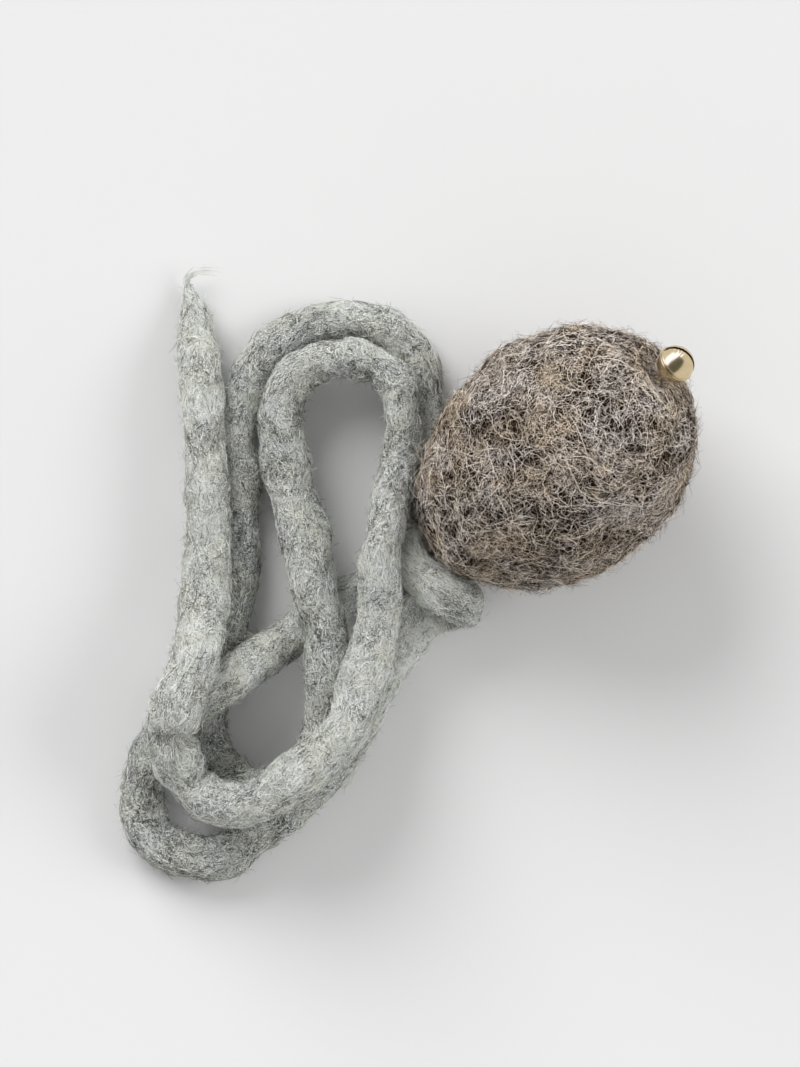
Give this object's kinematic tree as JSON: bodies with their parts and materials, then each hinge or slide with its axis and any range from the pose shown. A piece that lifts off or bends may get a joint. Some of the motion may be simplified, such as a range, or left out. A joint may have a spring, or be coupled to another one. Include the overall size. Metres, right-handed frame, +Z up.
{
  "type": "wool bell ball",
  "caption": "Egg-shaped felted wool ball with a small round bell sewn to one end and a long limp felted wool cord that lies in loops at the other end.",
  "frame": {"origin": "middle of the small flat that the ball rests on", "axes": "+Z up. The bell end of the ball points to +X and +Y and 32 degrees up, and the cord lies on the -X side of the ball."},
  "size_m": [0.1206, 0.1246, 0.0552],
  "materials": {
    "brown_wool": "dense matted felt of brown-grey wool with loose pale hairs",
    "wadding": "loosely felted wool wadding",
    "grey_wool": "soft felt of mottled light and dark grey wool",
    "pale_brass": "thin stamped metal, plated pale gold and polished",
    "pellet_steel": "plain steel shot",
    "sewing_thread": "matte doubled sewing thread"
  },
  "bodies": {
    "ball": {"ball_core": "wadding", "ball_felt_skin": "brown_wool", "felt_cord": "grey_wool", "bell_thread": "sewing_thread"},
    "bell": {"bell_top_shell": "pale_brass", "bell_slotted_shell": "pale_brass", "bell_shank": "pale_brass"},
    "pellet": {"bell_pellet": "pellet_steel"}
  },
  "joints": [
    {"name": "bell_swing", "type": "hinge", "parent": "ball", "child": "bell", "pos_m": [0.02863, 0.02277, 0.04415], "axis": [0.6999, -0.6883, -0.1908], "range_deg": [-30, 30]},
    {"name": "pellet_rattle", "type": "slide", "parent": "bell", "child": "pellet", "axis": [0, 0, 1], "range_m": [0, 0.0039]}
  ]
}
